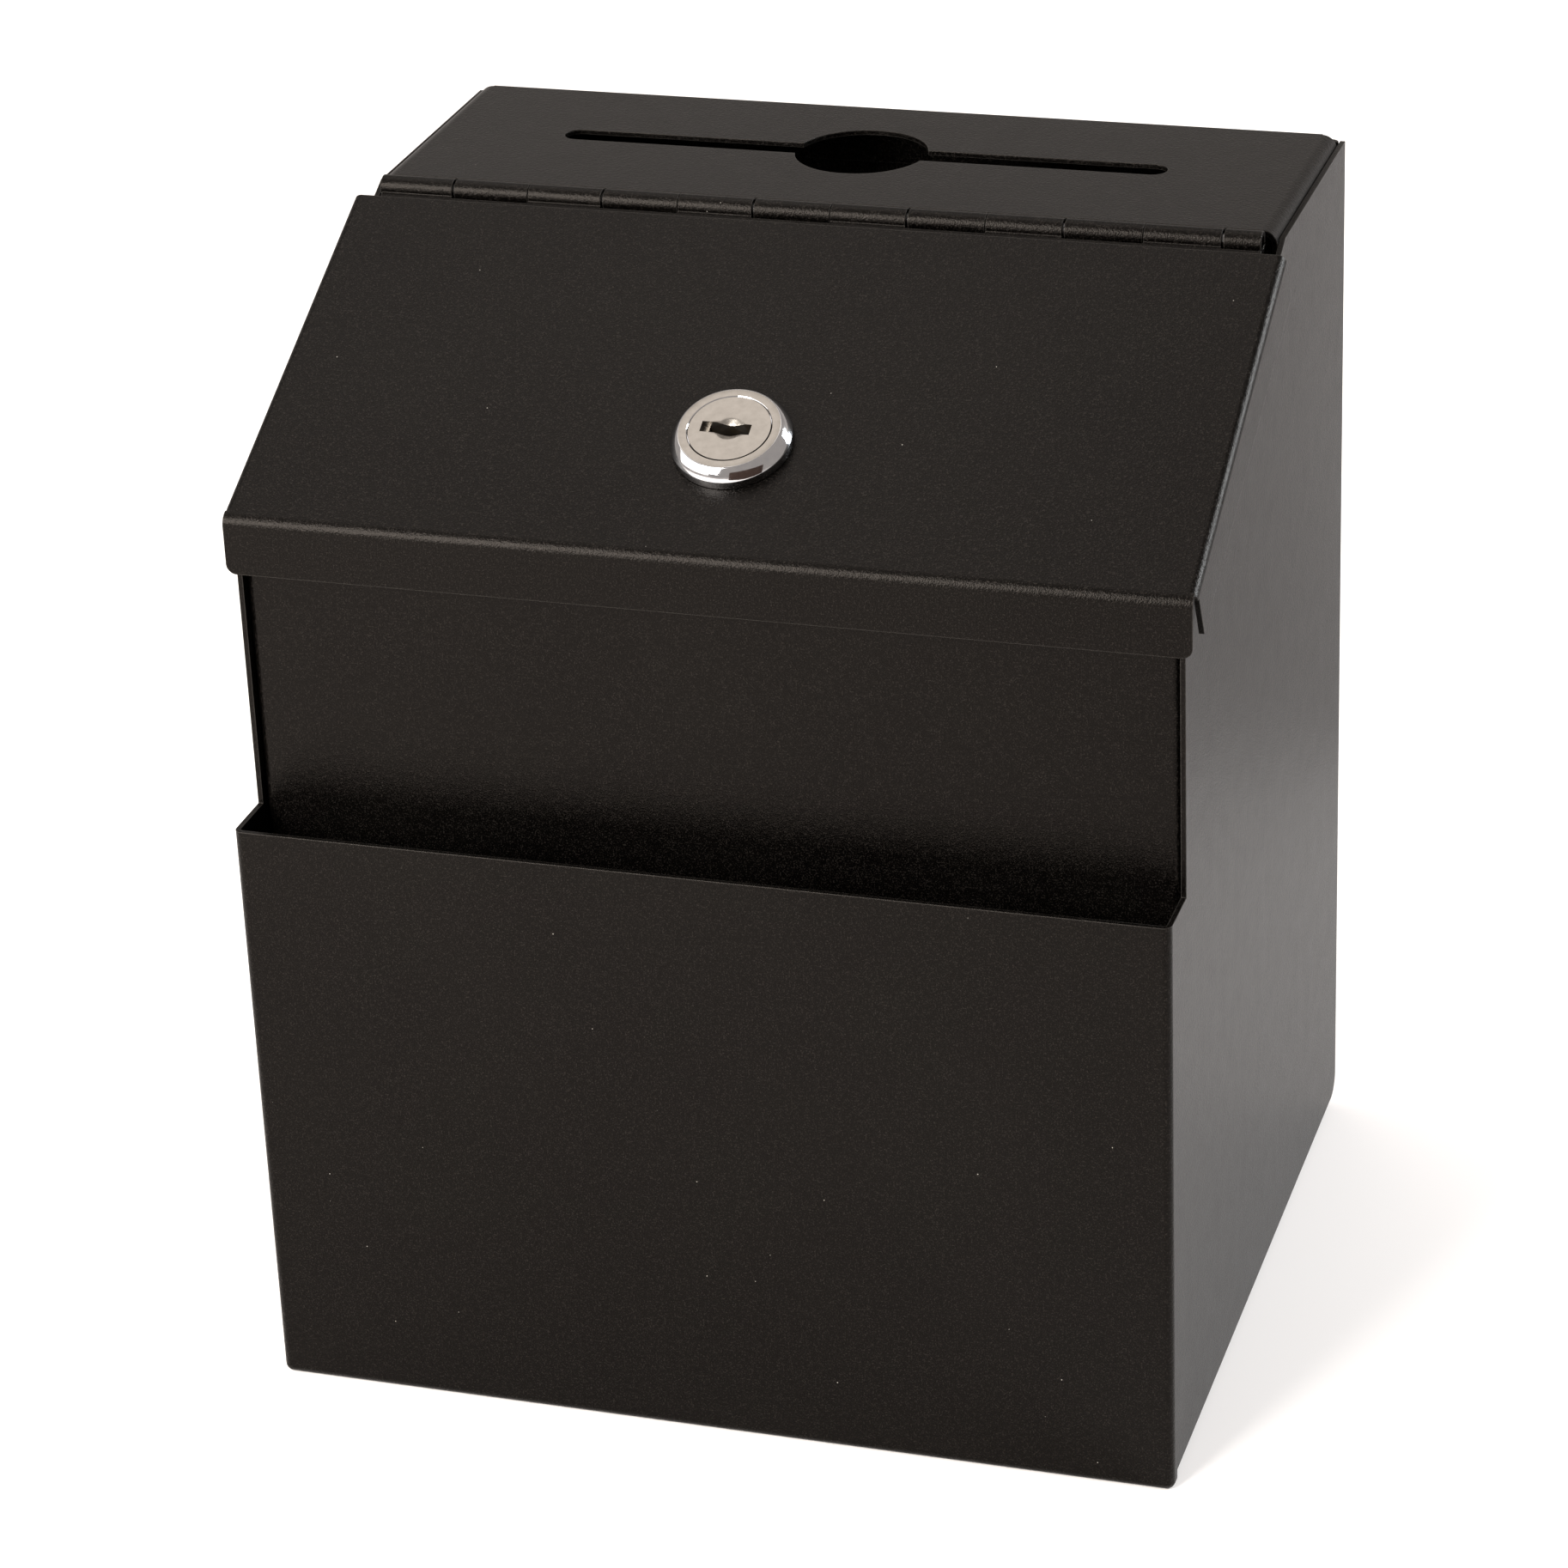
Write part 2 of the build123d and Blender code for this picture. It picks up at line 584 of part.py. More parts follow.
def make_stop_washer():
    """Washer on the square tail whose tab stops the plug at both ends of its turn."""
    low = -PLUG_END - STOP_SHEET
    washer = ring((LOCK_FLATS - LOCK_PLAY) / 2, 0, low, -PLUG_END)
    tab = sector(STOP_INNER + STOP_PLAY, LOCK_BARREL / 2, STOP_REST + STOP_TAB / 2, STOP_TAB)
    tab_height = STOP_SHEET + STOP_DEPTH - STOP_FLOOR_GAP
    washer += Pos(0, 0, low) * extrude(tab, amount=tab_height)
    return washer - square_hole()


def make_cam():
    """Cranked latch arm on the plug's tail. It points along +x when the lock is open."""
    high = -PLUG_END - STOP_SHEET - CAM_SHEET / 2
    half = CAM_WIDTH / 2
    crank_from = half + CAM_FLAT
    line = Polyline(
        (-half, high),
        (crank_from, high),
        (crank_from + CAM_CRANK, high + CAM_CRANK),
        (CAM_REACH, high + CAM_CRANK),
    )
    section = trace(line, line_width=CAM_SHEET)
    arm = extrude_y(section, -half, half)
    tip = CAM_TIP_WIDTH / 2
    outline = make_face(
        Polyline(
            (0, -half),
            (crank_from, -half),
            (CAM_REACH, -tip),
            (CAM_REACH, tip),
            (crank_from, half),
            (0, half),
            close=True,
        )
    )
    outline = fillet(outline.vertices().group_by(Axis.X)[-1], CAM_TIP_CORNER) + Circle(half)
    arm = arm & Pos(0, 0, high - CAM_SHEET) * extrude(outline, amount=CAM_CRANK + 2 * CAM_SHEET)
    return arm - square_hole()


def make_cam_spring_washer():
    """Split spring washer under the head of the cam screw."""
    top = -CAM_LOW
    washer = ring(SCREW_WASHER_OUTER / 2, SCREW / 2 + SCREW_WASHER_PLAY, top - SCREW_WASHER, top)
    half_split = SCREW_WASHER_SPLIT / 2
    split = box_between((-half_split, 0, top - 2 * SCREW_WASHER), (half_split, SCREW_HEAD, top + 1))
    return washer - Rot(0, 0, SCREW_WASHER_SPLIT_TURN) * split


def make_cam_screw():
    """Pan head screw that holds the cam on the plug."""
    head_top = -CAM_LOW - SCREW_WASHER
    head_low = head_top - SCREW_HEAD_HEIGHT
    head = ring(SCREW_HEAD / 2, 0, head_low, head_top)
    head = fillet(head.edges().sort_by(Axis.Z)[0], SCREW_HEAD_HEIGHT / 3)
    screw = head + ring(SCREW / 2, 0, head_top, -TAIL_END + SCREW_REACH - SCREW_END_GAP)
    recess = Box(RECESS_LENGTH, RECESS_WIDTH, 2 * RECESS_DEPTH)
    recess += Box(RECESS_WIDTH, RECESS_LENGTH, 2 * RECESS_DEPTH)
    return screw - Pos(0, 0, head_low) * recess


# ---- Write the pieces ---------------------------------------------------------------------
BODY_PARTS = {
    "outer_wrap": make_outer_wrap,
    "inner_front_panel": make_inner_front_panel,
    "back_panel": make_back_panel,
    "top_panel": make_top_panel,
    "hinge_top_leaf": make_hinge_top_leaf,
    "hinge_lid_leaf": make_hinge_lid_leaf,
    "hinge_pin": make_hinge_pin,
    "lid": make_lid,
}
LOCK_PARTS = {
    "lock_housing": make_lock_housing,
    "lock_plug": make_lock_plug,
    "wafer_springs": make_wafer_springs,
    "lock_washer": make_lock_washer,
    "lock_nut": make_lock_nut,
    "stop_washer": make_stop_washer,
    "cam": make_cam,
    "cam_spring_washer": make_cam_spring_washer,
    "cam_screw": make_cam_screw,
}


def main():
    """Write every piece to its own STEP file."""
    for name, make in BODY_PARTS.items():
        export_step(make(), f"parts/{name}.step")
    for name, make in LOCK_PARTS.items():
        export_step(LOCK_FRAME * make(), f"parts/{name}.step")
    for number, (z, cut) in enumerate(zip(wafer_heights(), WAFER_CUTS), start=1):
        export_step(LOCK_FRAME * make_wafer(z, cut), f"parts/wafer_{number}.step")


main()
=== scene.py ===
from math import cos, pi, radians, sin

import bmesh
import bpy
from mathutils import Matrix, Vector


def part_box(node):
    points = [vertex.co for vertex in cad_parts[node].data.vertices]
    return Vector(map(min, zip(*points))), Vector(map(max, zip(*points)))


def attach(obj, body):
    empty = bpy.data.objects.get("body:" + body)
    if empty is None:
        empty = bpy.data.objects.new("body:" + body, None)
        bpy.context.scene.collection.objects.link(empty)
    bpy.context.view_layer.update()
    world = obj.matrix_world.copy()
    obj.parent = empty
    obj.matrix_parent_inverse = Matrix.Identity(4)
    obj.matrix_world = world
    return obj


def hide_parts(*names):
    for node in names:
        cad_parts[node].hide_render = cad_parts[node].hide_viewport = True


# Looks of a lockable steel donation box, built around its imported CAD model.
# Metres, in the CAD frame: +Z is up, the front faces -Y, +X is to the right seen from the front.

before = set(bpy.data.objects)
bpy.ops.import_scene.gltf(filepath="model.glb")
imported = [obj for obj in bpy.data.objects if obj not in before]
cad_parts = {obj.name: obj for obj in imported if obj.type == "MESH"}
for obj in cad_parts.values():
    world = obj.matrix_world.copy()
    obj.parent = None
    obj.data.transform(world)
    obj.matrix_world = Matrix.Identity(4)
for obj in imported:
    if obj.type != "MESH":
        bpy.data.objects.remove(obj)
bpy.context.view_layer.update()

MM = 0.001

# ---- Sizes ---------------------------------------------------------------------------------
WELD_GAP = 0.002 * MM
COAT_ROUND = 0.35 * MM  # most a cut sheet edge is rounded; clamping keeps it well below this
FINE_ROUND = 0.1 * MM
PLATE_ROUND = 0.12 * MM
SMALL_ROUND = 0.08 * MM
SHARP_ANGLE = radians(35)  # edges that fold more than this are rounded

PEEL_SIZE = 0.7 * MM  # orange peel in the powder coat
PEEL_BUMP = 0.06 * MM
GRAIN_SIZE = 0.3 * MM  # finer grain on top of it
GRAIN_BUMP = 0.065 * MM
SPECK_PITCH = 4.5 * MM  # cells that may hold a dust speck

LID_SLOPE = radians(26)
LOCK_HEAD_RADIUS = 11.4 * MM
LOCK_FACE_RADIUS = 9.7 * MM
LOCK_FACE_HEIGHT = 4.0 * MM
LOCK_RIM_HEIGHT = 1.8 * MM
LOCK_SEAT_RADIUS = 7.85 * MM
LOCK_SEAT_HEIGHT = 1.95 * MM
LOCK_BORE_RADIUS = 6.05 * MM
LOCK_THREAD_RADIUS = 9.3 * MM
LOCK_FLAT = 8.0 * MM  # from the axis to each flat of the barrel
LOCK_LENGTH = 14.0 * MM
LOCK_ROUND = 0.18 * MM
LOCK_SEAT_CHAMFER = 0.15 * MM
WASHER_DEPTH = 1.4 * MM  # from the lid's surface down to the middle of the washer
THREAD_PITCH = 1.0 * MM
THREAD_DEPTH = 0.55 * MM
THREAD_STEPS = 8  # rows of points in each turn
LOCK_AROUND = 96  # points in each ring

FLOOR_HALF = 6.0
LIGHT_AIM = Vector((0, 0, 0.11))  # about the middle of the box

CAMERA_PLACE = Vector((0.2699, -0.8493, 0.5322))
CAMERA_AZIMUTH = radians(17.99)
CAMERA_ELEVATION = radians(25.75)
CAMERA_ROLL = radians(-2.42)
CAMERA_LENS = 115.58
CAMERA_SENSOR = 36.0


# ---- Material nodes ------------------------------------------------------------------------
class Graph:
    """Short way to write a material's nodes."""

    def __init__(self, name):
        self.material = bpy.data.materials.new(name)
        self.material.use_nodes = True
        self.tree = self.material.node_tree
        self.tree.nodes.clear()

    def add(self, kind, inputs=(), **settings):
        """Add a node, set its properties, then its inputs: a socket links and a value sets."""
        made = self.tree.nodes.new(kind)
        for key, value in settings.items():
            setattr(made, key, value)
        for key, value in dict(inputs).items():
            if isinstance(value, bpy.types.NodeSocket):
                self.tree.links.new(value, made.inputs[key])
            else:
                made.inputs[key].default_value = value
        return made

    def math(self, operation, first, second=0.0):
        """Result of a maths node."""
        return self.add("ShaderNodeMath", {0: first, 1: second}, operation=operation).outputs[0]

    def span(self, value, low, high, to_low=0.0, to_high=1.0):
        """Value mapped from low..high to to_low..to_high, clamped."""
        inputs = {"Value": value, "From Min": low, "From Max": high}
        inputs.update({"To Min": to_low, "To Max": to_high})
        return self.add("ShaderNodeMapRange", inputs).outputs["Result"]

    def noise(self, place, size, detail=2.0, roughness=0.5):
        """Noise whose features are about size metres across."""
        inputs = {"Vector": place, "Scale": 1 / size, "Detail": detail, "Roughness": roughness}
        return self.add("ShaderNodeTexNoise", inputs).outputs["Fac"]

    def cells(self, place, size):
        """Voronoi node with cells about size metres across."""
        return self.add("ShaderNodeTexVoronoi", {"Vector": place, "Scale": 1 / size})

    def blend(self, share, first, second):
        """Colour mixed from first to second."""
        made = self.add("ShaderNodeMix", data_type="RGBA")
        for index, value in ((0, share), (6, first), (7, second)):
            if isinstance(value, bpy.types.NodeSocket):
                self.tree.links.new(value, made.inputs[index])
            else:
                made.inputs[index].default_value = value
        return made.outputs[2]

    def bevel(self, radius):
        """Normal that rounds edges to about radius."""
        return self.add("ShaderNodeBevel", {"Radius": radius}, samples=4).outputs["Normal"]

    def bump(self, height, distance, normal=None):
        """Normal that follows a height of 0..1 scaled to distance metres."""
        inputs = {"Height": height, "Distance": distance, "Strength": 1.0}
        if normal is not None:
            inputs["Normal"] = normal
        return self.add("ShaderNodeBump", inputs).outputs["Normal"]

    def place(self):
        """Place on the object, in metres."""
        return self.add("ShaderNodeTexCoord").outputs["Object"]

    def edge_mask(self, radius, low, high):
        """Share of edge, from 0 on flat faces to 1 on edges tighter than about radius; used for edge
        wear, and on the powder coat also as a painted edge highlight.
        """
        straight = self.add("ShaderNodeNewGeometry").outputs["Normal"]
        inputs = {0: self.bevel(radius), 1: straight}
        match = self.add("ShaderNodeVectorMath", inputs, operation="DOT_PRODUCT").outputs["Value"]
        return self.span(match, high, low)

    def finish(self, **sockets):
        """Principled shader with these sockets, and the material itself."""
        inputs = {key.replace("_", " "): value for key, value in sockets.items()}
        shader = self.add("ShaderNodeBsdfPrincipled", inputs)
        out = self.add("ShaderNodeOutputMaterial")
        self.tree.links.new(shader.outputs[0], out.inputs["Surface"])
        return self.material


def powder_coat():
    """Black powder coat: warm black, orange peel, fine grain whose lighter flecks are partly painted
    glints, dust specks, lighter edges that are partly wear and partly a painted highlight.
    """
    g = Graph("black_powder_coat_fine")
    at = g.place()
    cloud = g.noise(at, 35 * MM, 3.0)
    patches = g.noise(at, 6 * MM, 2.0)
    peel = g.noise(at, PEEL_SIZE, 2.0, 0.6)
    grain = g.noise(at, GRAIN_SIZE, 1.0, 0.6)
    edge_share = g.edge_mask(0.35 * MM, 0.75, 0.97)
    darkest = (0.0003, 0.0002, 0.0002, 1)
    dark = g.blend(g.span(cloud, 0.35, 0.65), darkest, (0.0007, 0.0006, 0.0005, 1))
    # Grain flecks: lighter flecks are partly the coat's own grain tone, partly painted glints in
    # place of specular sparkle.
    fleck_and_glint = g.math("ADD", g.math("MULTIPLY", peel, 0.3), g.math("MULTIPLY", grain, 0.7))
    base = g.blend(g.span(fleck_and_glint, 0.52, 0.68), dark, (0.0115, 0.0098, 0.0086, 1))
    # Edges lightened towards a pale grey: partly wear on thin coat, partly a painted highlight along
    # the sheet edges.
    base = g.blend(g.math("MULTIPLY", edge_share, 0.7), base, (0.06, 0.055, 0.05, 1))
    speck_cells = g.cells(at, SPECK_PITCH)
    near = g.span(speck_cells.outputs["Distance"], 0.012, 0.03, 1.0, 0.0)
    picked = g.math("GREATER_THAN", speck_cells.outputs["Color"], 0.72)
    base = g.blend(g.math("MULTIPLY", near, picked), base, (0.3, 0.28, 0.25, 1))
    rough = g.span(patches, 0.3, 0.7, 0.3, 0.32)
    rough = g.math("SUBTRACT", rough, g.math("MULTIPLY", edge_share, 0.08))
    normal = g.bump(peel, PEEL_BUMP, g.bevel(0.2 * MM))
    normal = g.bump(grain, GRAIN_BUMP, normal)
    tint = (1.0, 0.9, 0.82, 1)
    return g.finish(Base_Color=base, Roughness=rough, IOR=1.19, Specular_Tint=tint, Normal=normal)


def polished_chrome():
    """Bright chrome plating with faint polishing haze."""
    g = Graph("bright_chrome_polished")
    at = g.place()
    haze = g.noise(at, 2 * MM, 3.0)
    ripple = g.noise(at, 3 * MM, 1.0)
    rough = g.span(haze, 0.3, 0.7, 0.05, 0.1)
    base = g.blend(g.span(haze, 0.3, 0.7), (0.52, 0.52, 0.54, 1), (0.6, 0.6, 0.61, 1))
    return g.finish(Base_Color=base, Metallic=1.0, Roughness=rough, Normal=g.bump(ripple, 0.01 * MM))


def satin_nickel():
    """Satin plated face of the lock."""
    g = Graph("satin_nickel_face")
    at = g.place()
    haze = g.noise(at, 1.5 * MM, 3.0)
    grain = g.noise(at, 0.12 * MM, 2.0)
    rough = g.span(haze, 0.3, 0.7, 0.3, 0.38)
    base = g.blend(g.span(haze, 0.3, 0.7), (0.24, 0.222, 0.2, 1), (0.3, 0.278, 0.252, 1))
    return g.finish(Base_Color=base, Metallic=1.0, Roughness=rough, Normal=g.bump(grain, 0.002 * MM))


def zinc_plate():
    """Clear zinc plating on steel: bluish grey with dull patches and fine grain."""
    g = Graph("zinc_plate_dull")
    at = g.place()
    patches = g.noise(at, 2.5 * MM, 3.0)
    grain = g.noise(at, 0.2 * MM, 3.0)
    edge_share = g.edge_mask(0.4 * MM, 0.75, 0.97)
    base = g.blend(g.span(patches, 0.3, 0.7), (0.22, 0.225, 0.23, 1), (0.34, 0.34, 0.33, 1))
    base = g.blend(edge_share, base, (0.5, 0.5, 0.49, 1))
    rough = g.span(patches, 0.3, 0.7, 0.28, 0.46)
    return g.finish(Base_Color=base, Metallic=1.0, Roughness=rough, Normal=g.bump(grain, 0.004 * MM))


def plain_metal(name, dark, light):
    """Drawn or rolled metal with darker patches and fine grain."""
    g = Graph(name)
    at = g.place()
    patches = g.noise(at, 1.5 * MM, 3.0)
    grain = g.noise(at, 0.1 * MM, 2.0)
    base = g.blend(g.span(patches, 0.3, 0.7), dark, light)
    rough = g.span(patches, 0.3, 0.7, 0.25, 0.42)
    return g.finish(Base_Color=base, Metallic=1.0, Roughness=rough, Normal=g.bump(grain, 0.003 * MM))


MATERIALS = {
    "black_powder_coat": powder_coat(),
    "bright_chrome": polished_chrome(),
    "satin_nickel": satin_nickel(),
    "zinc_plate": zinc_plate(),
    "pin_steel": plain_metal("pin_steel_drawn", (0.3, 0.3, 0.3, 1), (0.5, 0.5, 0.5, 1)),
    "wafer_brass": plain_metal("wafer_brass_rolled", (0.5, 0.36, 0.14, 1), (0.68, 0.5, 0.22, 1)),
    "spring_bronze": plain_metal("spring_bronze_wire", (0.42, 0.25, 0.12, 1), (0.6, 0.38, 0.2, 1)),
}


# ---- CAD nodes: rounded edges and materials ------------------------------------------------
def smooth_shading():
    """Geometry nodes that shade smooth, but keep edges sharper than SHARP_ANGLE."""
    group = bpy.data.node_groups.new("smooth_by_angle", "GeometryNodeTree")
    group.interface.new_socket("Geometry", in_out="INPUT", socket_type="NodeSocketGeometry")
    group.interface.new_socket("Geometry", in_out="OUTPUT", socket_type="NodeSocketGeometry")
    nodes, links = group.nodes, group.links
    start = nodes.new("NodeGroupInput")
    plain = nodes.new("GeometryNodeRemoveAttribute")
    plain.inputs["Name"].default_value = "custom_normal"
    faces = nodes.new("GeometryNodeSetShadeSmooth")
    angle = nodes.new("GeometryNodeInputMeshEdgeAngle")
    sharp = nodes.new("FunctionNodeCompare")
    sharp.data_type = "FLOAT"
    sharp.operation = "GREATER_THAN"
    sharp.inputs["B"].default_value = SHARP_ANGLE
    edges = nodes.new("GeometryNodeSetShadeSmooth")
    edges.domain = "EDGE"
    edges.inputs["Shade Smooth"].default_value = False
    end = nodes.new("NodeGroupOutput")
    links.new(start.outputs[0], plain.inputs["Geometry"])
    links.new(plain.outputs[0], faces.inputs["Geometry"])
    links.new(faces.outputs[0], edges.inputs["Geometry"])
    links.new(angle.outputs["Unsigned Angle"], sharp.inputs["A"])
    links.new(sharp.outputs["Result"], edges.inputs["Selection"])
    links.new(edges.outputs[0], end.inputs[0])
    return group


SMOOTH = smooth_shading()


def soften(piece, width):
    """Weld the CAD mesh, round its sharp edges and shade it smooth."""
    weld = piece.modifiers.new("weld", "WELD")
    weld.merge_threshold = WELD_GAP
    if width:
        bevel = piece.modifiers.new("round_edges", "BEVEL")
        bevel.width = width
        bevel.segments = 2
        bevel.limit_method = "ANGLE"
        bevel.angle_limit = SHARP_ANGLE
        bevel.use_clamp_overlap = True
        bevel.miter_outer = "MITER_ARC"
    smooth = piece.modifiers.new("smooth", "NODES")
    smooth.node_group = SMOOTH
    if width:
        weighted = piece.modifiers.new("weighted", "WEIGHTED_NORMAL")
        weighted.keep_sharp = True


EDGE_ROUNDS = {
    "outer_wrap": COAT_ROUND,
    "inner_front_panel": COAT_ROUND,
    "back_panel": COAT_ROUND,
    "top_panel": COAT_ROUND,
    "lid": COAT_ROUND,
    "hinge_top_leaf": FINE_ROUND,
    "hinge_lid_leaf": FINE_ROUND,
    "hinge_pin": FINE_ROUND,
    "lock_plug": FINE_ROUND,
    "lock_washer": PLATE_ROUND,
    "lock_nut": PLATE_ROUND,
    "stop_washer": PLATE_ROUND,
    "cam": PLATE_ROUND,
    "cam_spring_washer": SMALL_ROUND,
    "cam_screw": SMALL_ROUND,
}

for name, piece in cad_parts.items():
    slot_name = piece.data.materials[0].name
    piece.material_slots[0].link = "OBJECT"
    piece.material_slots[0].material = MATERIALS[slot_name]
    soften(piece, EDGE_ROUNDS.get(name, 0.0))


# ---- Lock housing with its thread ----------------------------------------------------------
def lock_frame():
    """Matrix from the lock's own frame (face towards +Z, lid surface at 0) to the box's frame."""
    low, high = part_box("lock_washer")
    middle = (low + high) / 2
    washer_middle = Vector((0, 0, -WASHER_DEPTH))
    turn = Matrix.Rotation(LID_SLOPE, 4, "X")
    centre = middle - turn @ washer_middle
    return Matrix.Translation(Vector((0, centre.y, centre.z))) @ turn


def mesh_object(name, vertices, faces, materials):
    """New object from points and faces."""
    mesh = bpy.data.meshes.new(name)
    mesh.from_pydata(vertices, [], faces)
    made = bpy.data.objects.new(name, mesh)
    bpy.context.scene.collection.objects.link(made)
    for material in materials:
        mesh.materials.append(material)
    return made


def lock_profile():
    """Head and bore of the housing in (radius, height), from under the head round to the rear."""
    return [
        (LOCK_HEAD_RADIUS - LOCK_ROUND, 0),
        (LOCK_HEAD_RADIUS, LOCK_ROUND),
        (LOCK_HEAD_RADIUS, LOCK_RIM_HEIGHT - LOCK_ROUND),
        (LOCK_HEAD_RADIUS - SMALL_ROUND, LOCK_RIM_HEIGHT + SMALL_ROUND),
        (LOCK_FACE_RADIUS + SMALL_ROUND, LOCK_FACE_HEIGHT - FINE_ROUND),
        (LOCK_FACE_RADIUS - LOCK_ROUND, LOCK_FACE_HEIGHT),
        (LOCK_SEAT_RADIUS + LOCK_SEAT_CHAMFER, LOCK_FACE_HEIGHT),
        (LOCK_SEAT_RADIUS, LOCK_FACE_HEIGHT - LOCK_SEAT_CHAMFER),
        (LOCK_SEAT_RADIUS, LOCK_SEAT_HEIGHT),
        (LOCK_BORE_RADIUS, LOCK_SEAT_HEIGHT),
        (LOCK_BORE_RADIUS, -LOCK_LENGTH),
        (LOCK_THREAD_RADIUS - THREAD_DEPTH, -LOCK_LENGTH),
    ]


def lock_rows():
    """Rings of (radius, height) points: the plain profile, then the thread up the barrel."""
    rows = []
    for radius, height in lock_profile():
        rows.append([(radius, height)] * LOCK_AROUND)
    thread_rows = int(LOCK_LENGTH / THREAD_PITCH * THREAD_STEPS)
    for row in range(thread_rows + 1):
        height = -LOCK_LENGTH + row * THREAD_PITCH / THREAD_STEPS
        ring = []
        for index in range(LOCK_AROUND):
            phase = (row / THREAD_STEPS + index / LOCK_AROUND) % 1
            cut = abs(2 * phase - 1)
            ring.append((LOCK_THREAD_RADIUS - THREAD_DEPTH * cut, height))
        rows.append(ring)
    return rows


def lock_points(rows):
    """Points of the rings, with the two flats cut along the barrel."""
    points = []
    for ring in rows:
        for index, (radius, height) in enumerate(ring):
            angle = 2 * pi * index / LOCK_AROUND
            across = radius * sin(angle)
            if height < 0 and radius > LOCK_FLAT:
                across = max(-LOCK_FLAT, min(LOCK_FLAT, across))
            points.append((radius * cos(angle), across, height))
    return points


def ring_faces(count):
    """Faces that join each ring of points to the next, and the last to the first."""
    faces = []
    for row in range(count):
        here = row * LOCK_AROUND
        following = (row + 1) % count * LOCK_AROUND
        for index in range(LOCK_AROUND):
            beside = (index + 1) % LOCK_AROUND
            faces.append((here + index, here + beside, following + beside, following + index))
    return faces


def make_lock_body():
    """Lock housing: bevelled chrome head, satin ring, threaded barrel with two flats."""
    rows = lock_rows()
    materials = [MATERIALS["bright_chrome"], MATERIALS["satin_nickel"]]
    body = mesh_object("lock_body", lock_points(rows), ring_faces(len(rows)), materials)
    satin_row = 5  # the flat ring round the plug
    for number, polygon in enumerate(body.data.polygons):
        if number // LOCK_AROUND == satin_row:
            polygon.material_index = 1
    edit = bmesh.new()
    edit.from_mesh(body.data)
    bmesh.ops.recalc_face_normals(edit, faces=edit.faces)
    edit.to_mesh(body.data)
    edit.free()
    body.matrix_world = lock_frame()
    smooth = body.modifiers.new("smooth", "NODES")
    smooth.node_group = SMOOTH
    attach(body, "lid")
    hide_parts("lock_housing")


make_lock_body()


# ---- Floor, light and camera ---------------------------------------------------------------
def studio_material(name, colour, glow_strength):
    """Faintly mottled matt surface, with its own glow if it has one."""
    g = Graph(name)
    mottle = g.noise(g.place(), 0.4, 2.0)
    lighter = tuple(min(1.0, c * 1.01) for c in colour[:3]) + (1,)
    base = g.blend(mottle, colour, lighter)
    glow = {"Emission_Color": (1.0, 0.95, 0.92, 1), "Emission_Strength": glow_strength}
    return g.finish(Base_Color=base, Roughness=0.9, IOR=1.2, **glow)


def make_floor():
    """Large pale floor under the box."""
    half = FLOOR_HALF
    corners = [(-half, -half, 0), (half, -half, 0), (half, half, 0), (-half, half, 0)]
    pale = studio_material("floor_pale", (0.77, 0.74, 0.725, 1), 0.2)
    floor = mesh_object("floor", corners, [(0, 1, 2, 3)], [pale])


def softbox(name, azimuth, elevation, distance, width, height, strength, colour):
    """Area light aimed at the box. Azimuth 0 stands behind it (+Y) and 90 to its right (+X)."""
    a, e = radians(azimuth), radians(elevation)
    away = Vector((sin(a) * cos(e), cos(a) * cos(e), sin(e)))
    data = bpy.data.lights.new(name, "AREA")
    data.shape = "RECTANGLE"
    data.size = width
    data.size_y = height
    data.energy = strength * pi * width * height  # strength is its radiance
    data.color = colour
    lamp = bpy.data.objects.new(name, data)
    bpy.context.scene.collection.objects.link(lamp)
    lamp.location = LIGHT_AIM + away * distance
    lamp.rotation_mode = "QUATERNION"
    lamp.rotation_quaternion = away.to_track_quat("Z", "Y")
    lamp.visible_camera = False


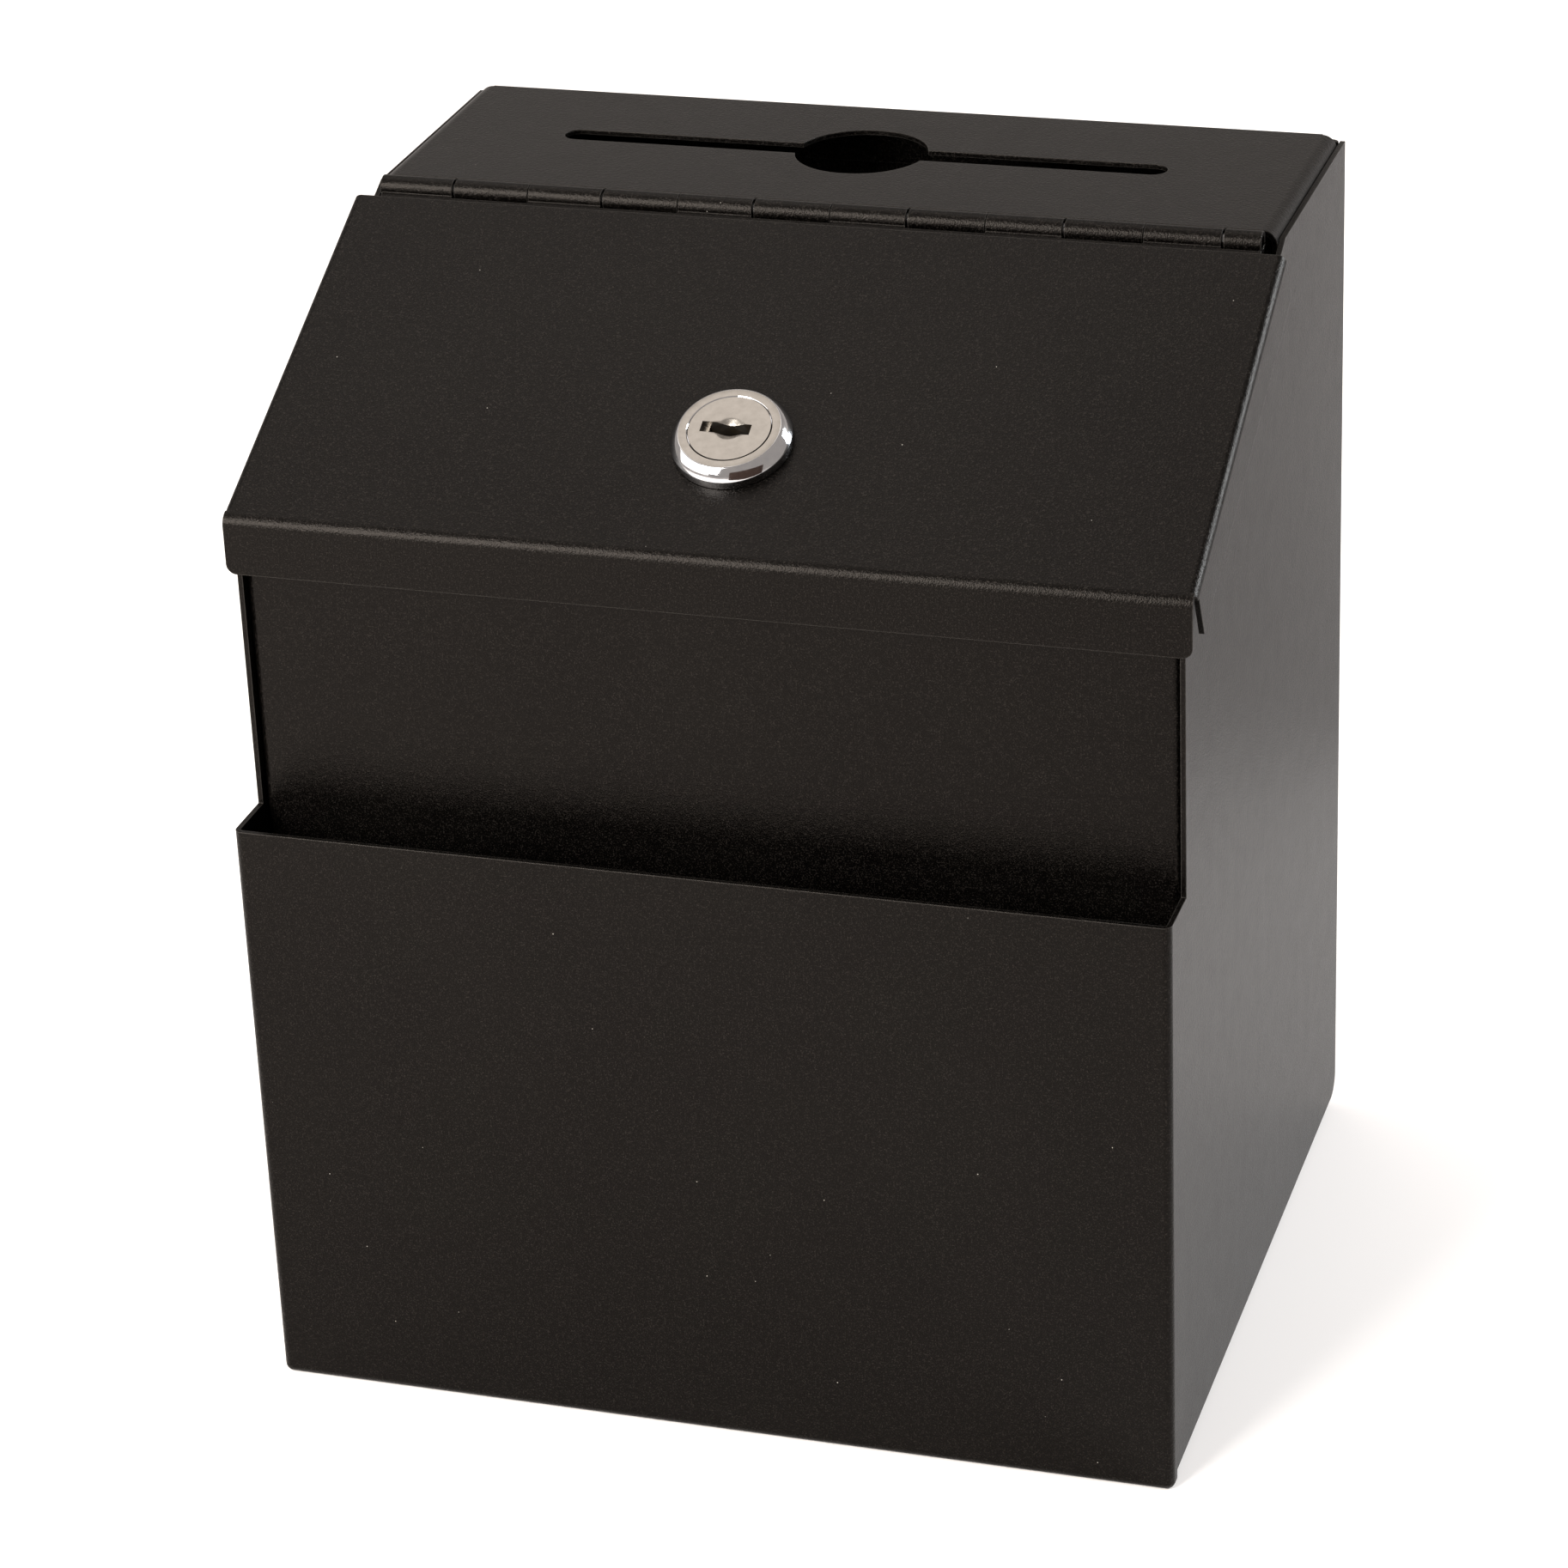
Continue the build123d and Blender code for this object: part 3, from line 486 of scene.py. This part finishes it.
def card(name, azimuth, distance, width, height, colour, glow_strength):
    """Upright card that the camera doesn't see, only its reflection in the box."""
    a = radians(azimuth)
    middle = Vector((sin(a), cos(a), 0)) * distance
    along = Vector((cos(a), -sin(a), 0)) * width / 2
    rise = Vector((0, 0, height))
    corners = [middle - along, middle + along, middle + along + rise, middle - along + rise]
    surface = studio_material(name, colour, glow_strength)
    made = mesh_object(name, corners, [(0, 1, 2, 3)], [surface])
    made.visible_camera = False
    made.visible_shadow = False


def make_world():
    """Plain warm white surroundings."""
    world = bpy.data.worlds.new("studio")
    bpy.context.scene.world = world
    world.use_nodes = True
    back = world.node_tree.nodes["Background"]
    back.inputs["Color"].default_value = (1.0, 0.92, 0.86, 1)
    back.inputs["Strength"].default_value = 0.5


def make_camera():
    """Camera at the photograph's place, with its small roll."""
    data = bpy.data.cameras.new("camera")
    data.lens = CAMERA_LENS
    data.sensor_width = CAMERA_SENSOR
    data.clip_start = 0.01
    data.clip_end = 50
    camera = bpy.data.objects.new("camera", data)
    bpy.context.scene.collection.objects.link(camera)
    a, e, r = CAMERA_AZIMUTH, CAMERA_ELEVATION, CAMERA_ROLL
    forward = Vector((-sin(a) * cos(e), cos(a) * cos(e), -sin(e)))
    level = Vector((cos(a), sin(a), 0))
    upright = level.cross(forward)
    right = cos(r) * level + sin(r) * upright
    up = -sin(r) * level + cos(r) * upright
    axes = Matrix((right, up, -forward)).transposed().to_4x4()
    camera.matrix_world = Matrix.Translation(CAMERA_PLACE) @ axes
    bpy.context.scene.camera = camera


make_floor()
card("dark_card", 150, 0.8, 0.8, 0.42, (0.04, 0.025, 0.02, 1), 0.0)
card("grey_card", 41, 0.27, 0.17, 0.26, (0.1, 0.09, 0.09, 1), 0.55)
make_world()
softbox("left_softbox", -125, 24, 1.5, 1.6, 1.2, 2.0, (1.0, 0.97, 0.92))
softbox("front_softbox", -153, 29, 1.2, 0.56, 0.8, 19.0, (1.0, 0.97, 0.93))
softbox("backdrop", 5, 14, 2.4, 4.4, 1.9, 0.12, (1.0, 0.9, 0.84))
softbox("overhead", -56, 70, 1.8, 1.3, 1.3, 1.75, (1.0, 0.95, 0.91))
softbox("right_key", 57, 26, 1.5, 0.3, 0.7, 42.0, (0.9, 0.96, 1.0))
make_camera()
bpy.context.scene.view_settings.view_transform = "Standard"
